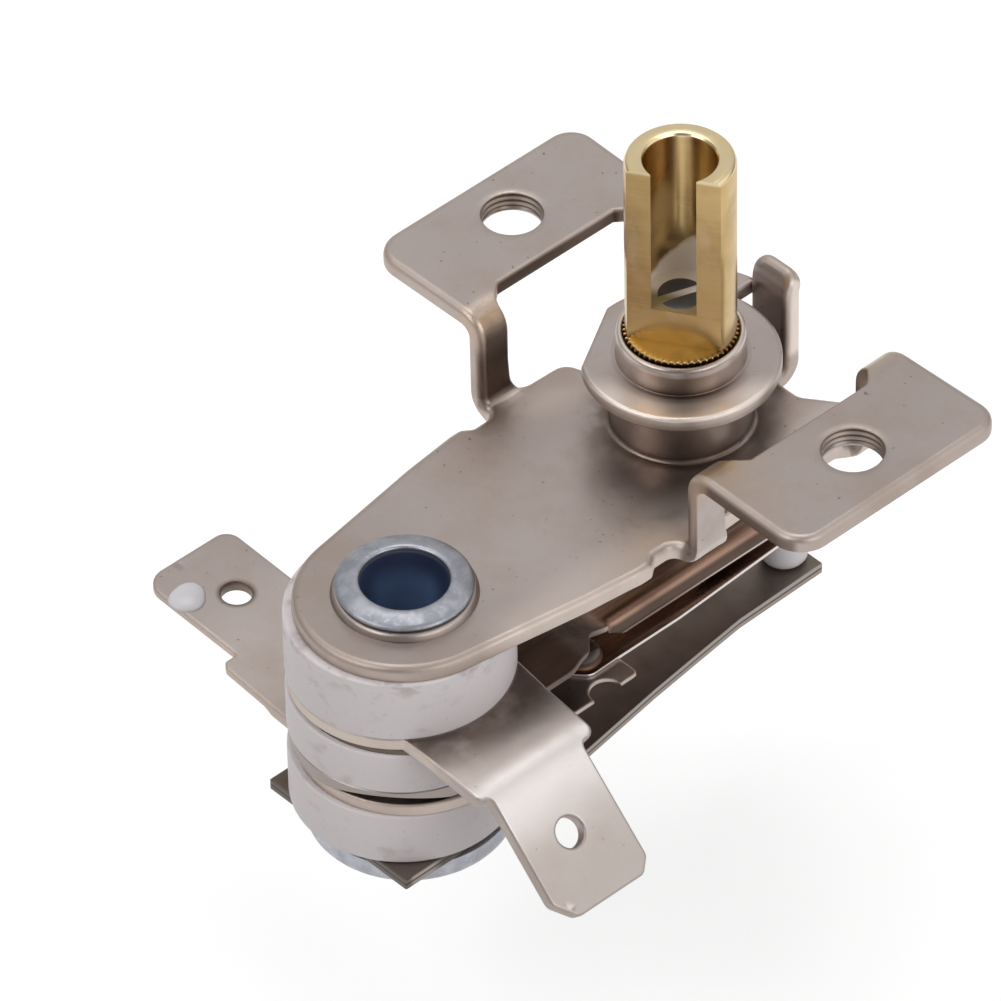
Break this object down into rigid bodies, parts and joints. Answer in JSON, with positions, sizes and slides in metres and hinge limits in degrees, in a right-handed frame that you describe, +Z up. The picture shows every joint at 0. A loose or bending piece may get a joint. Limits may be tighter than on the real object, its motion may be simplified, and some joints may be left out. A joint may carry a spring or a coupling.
{
  "type": "bimetal temperature switch",
  "caption": "Adjustable bimetal temperature switch: stamped frame with screw ears, riveted ceramic stack with flat tabs, spring contact blades and a slotted brass setting shaft.",
  "frame": {"origin": "on the shaft axis, in the plane of the two ears' top faces, midway between the screw holes", "axes": "+Z up along the shaft, -X toward the ceramic stack, +Y toward the flat left tab"},
  "size_m": [0.0364, 0.036, 0.0354],
  "materials": {
    "nickel_steel": "nickel plated, satin",
    "zinc_steel": "zinc plated",
    "ceramic": "unglazed ceramic",
    "copper": "copper alloy, tarnished",
    "silver": "silver alloy",
    "bimetal": "rolled, dark",
    "brass": "turned brass",
    "dark_steel": "blackened"
  },
  "bodies": {
    "frame": {"mounting_frame": "nickel_steel", "tubular_rivet": "zinc_steel", "upper_ceramic_ring": "ceramic", "middle_ceramic_ring": "ceramic", "lower_ceramic_ring": "ceramic", "right_terminal": "nickel_steel", "left_terminal": "nickel_steel", "clamp_washer": "nickel_steel", "blade_rivets": "copper"},
    "pin": {"push_pin": "ceramic"},
    "shaft": {"brass_shaft": "brass", "stop_plate": "nickel_steel", "setting_screw": "dark_steel"},
    "upper_arm": {"upper_contact_blade": "copper", "upper_contact": "silver"},
    "lower_arm": {"lower_contact_blade": "copper", "lower_contact": "silver"},
    "bimetal": {"bimetal_strip": "bimetal", "ceramic_bead": "ceramic"}
  },
  "joints": [
    {"name": "shaft_turn", "type": "hinge", "parent": "pin", "child": "shaft", "pos_m": [0, 0, 0], "axis": [0, 0, 1], "range_deg": [0, 294.5]},
    {"name": "screw_feed", "type": "slide", "parent": "frame", "child": "pin", "axis": [0, 0, 1], "range_m": [0, 0.0006135]},
    {"name": "upper_arm_flex", "type": "hinge", "parent": "frame", "child": "upper_arm", "pos_m": [-0.01305, 0, -0.0122], "axis": [0, -1, 0], "range_deg": [0, 2.6], "deforming": ["upper_contact_blade"]},
    {"name": "bimetal_bend", "type": "hinge", "parent": "frame", "child": "bimetal", "pos_m": [-0.01435, 0, -0.02085], "axis": [0, 1, 0], "range_deg": [0, 2], "stiffness_Nm_per_rad": 0.02, "deforming": ["bimetal_strip"]},
    {"name": "lower_arm_flex", "type": "hinge", "parent": "frame", "child": "lower_arm", "pos_m": [-0.00865, 0, -0.0161], "axis": [0, 1, 0], "range_deg": [0, 2.75], "deforming": ["lower_contact_blade"]}
  ],
  "couplings": [
    {"joint": "shaft_turn", "follows": "screw_feed", "rad_per_m": 8377.6},
    {"joint": "upper_arm_flex", "follows": "screw_feed", "rad_per_m": 72.885},
    {"joint": "lower_arm_flex", "follows": "bimetal_bend", "ratio": 1.355}
  ]
}
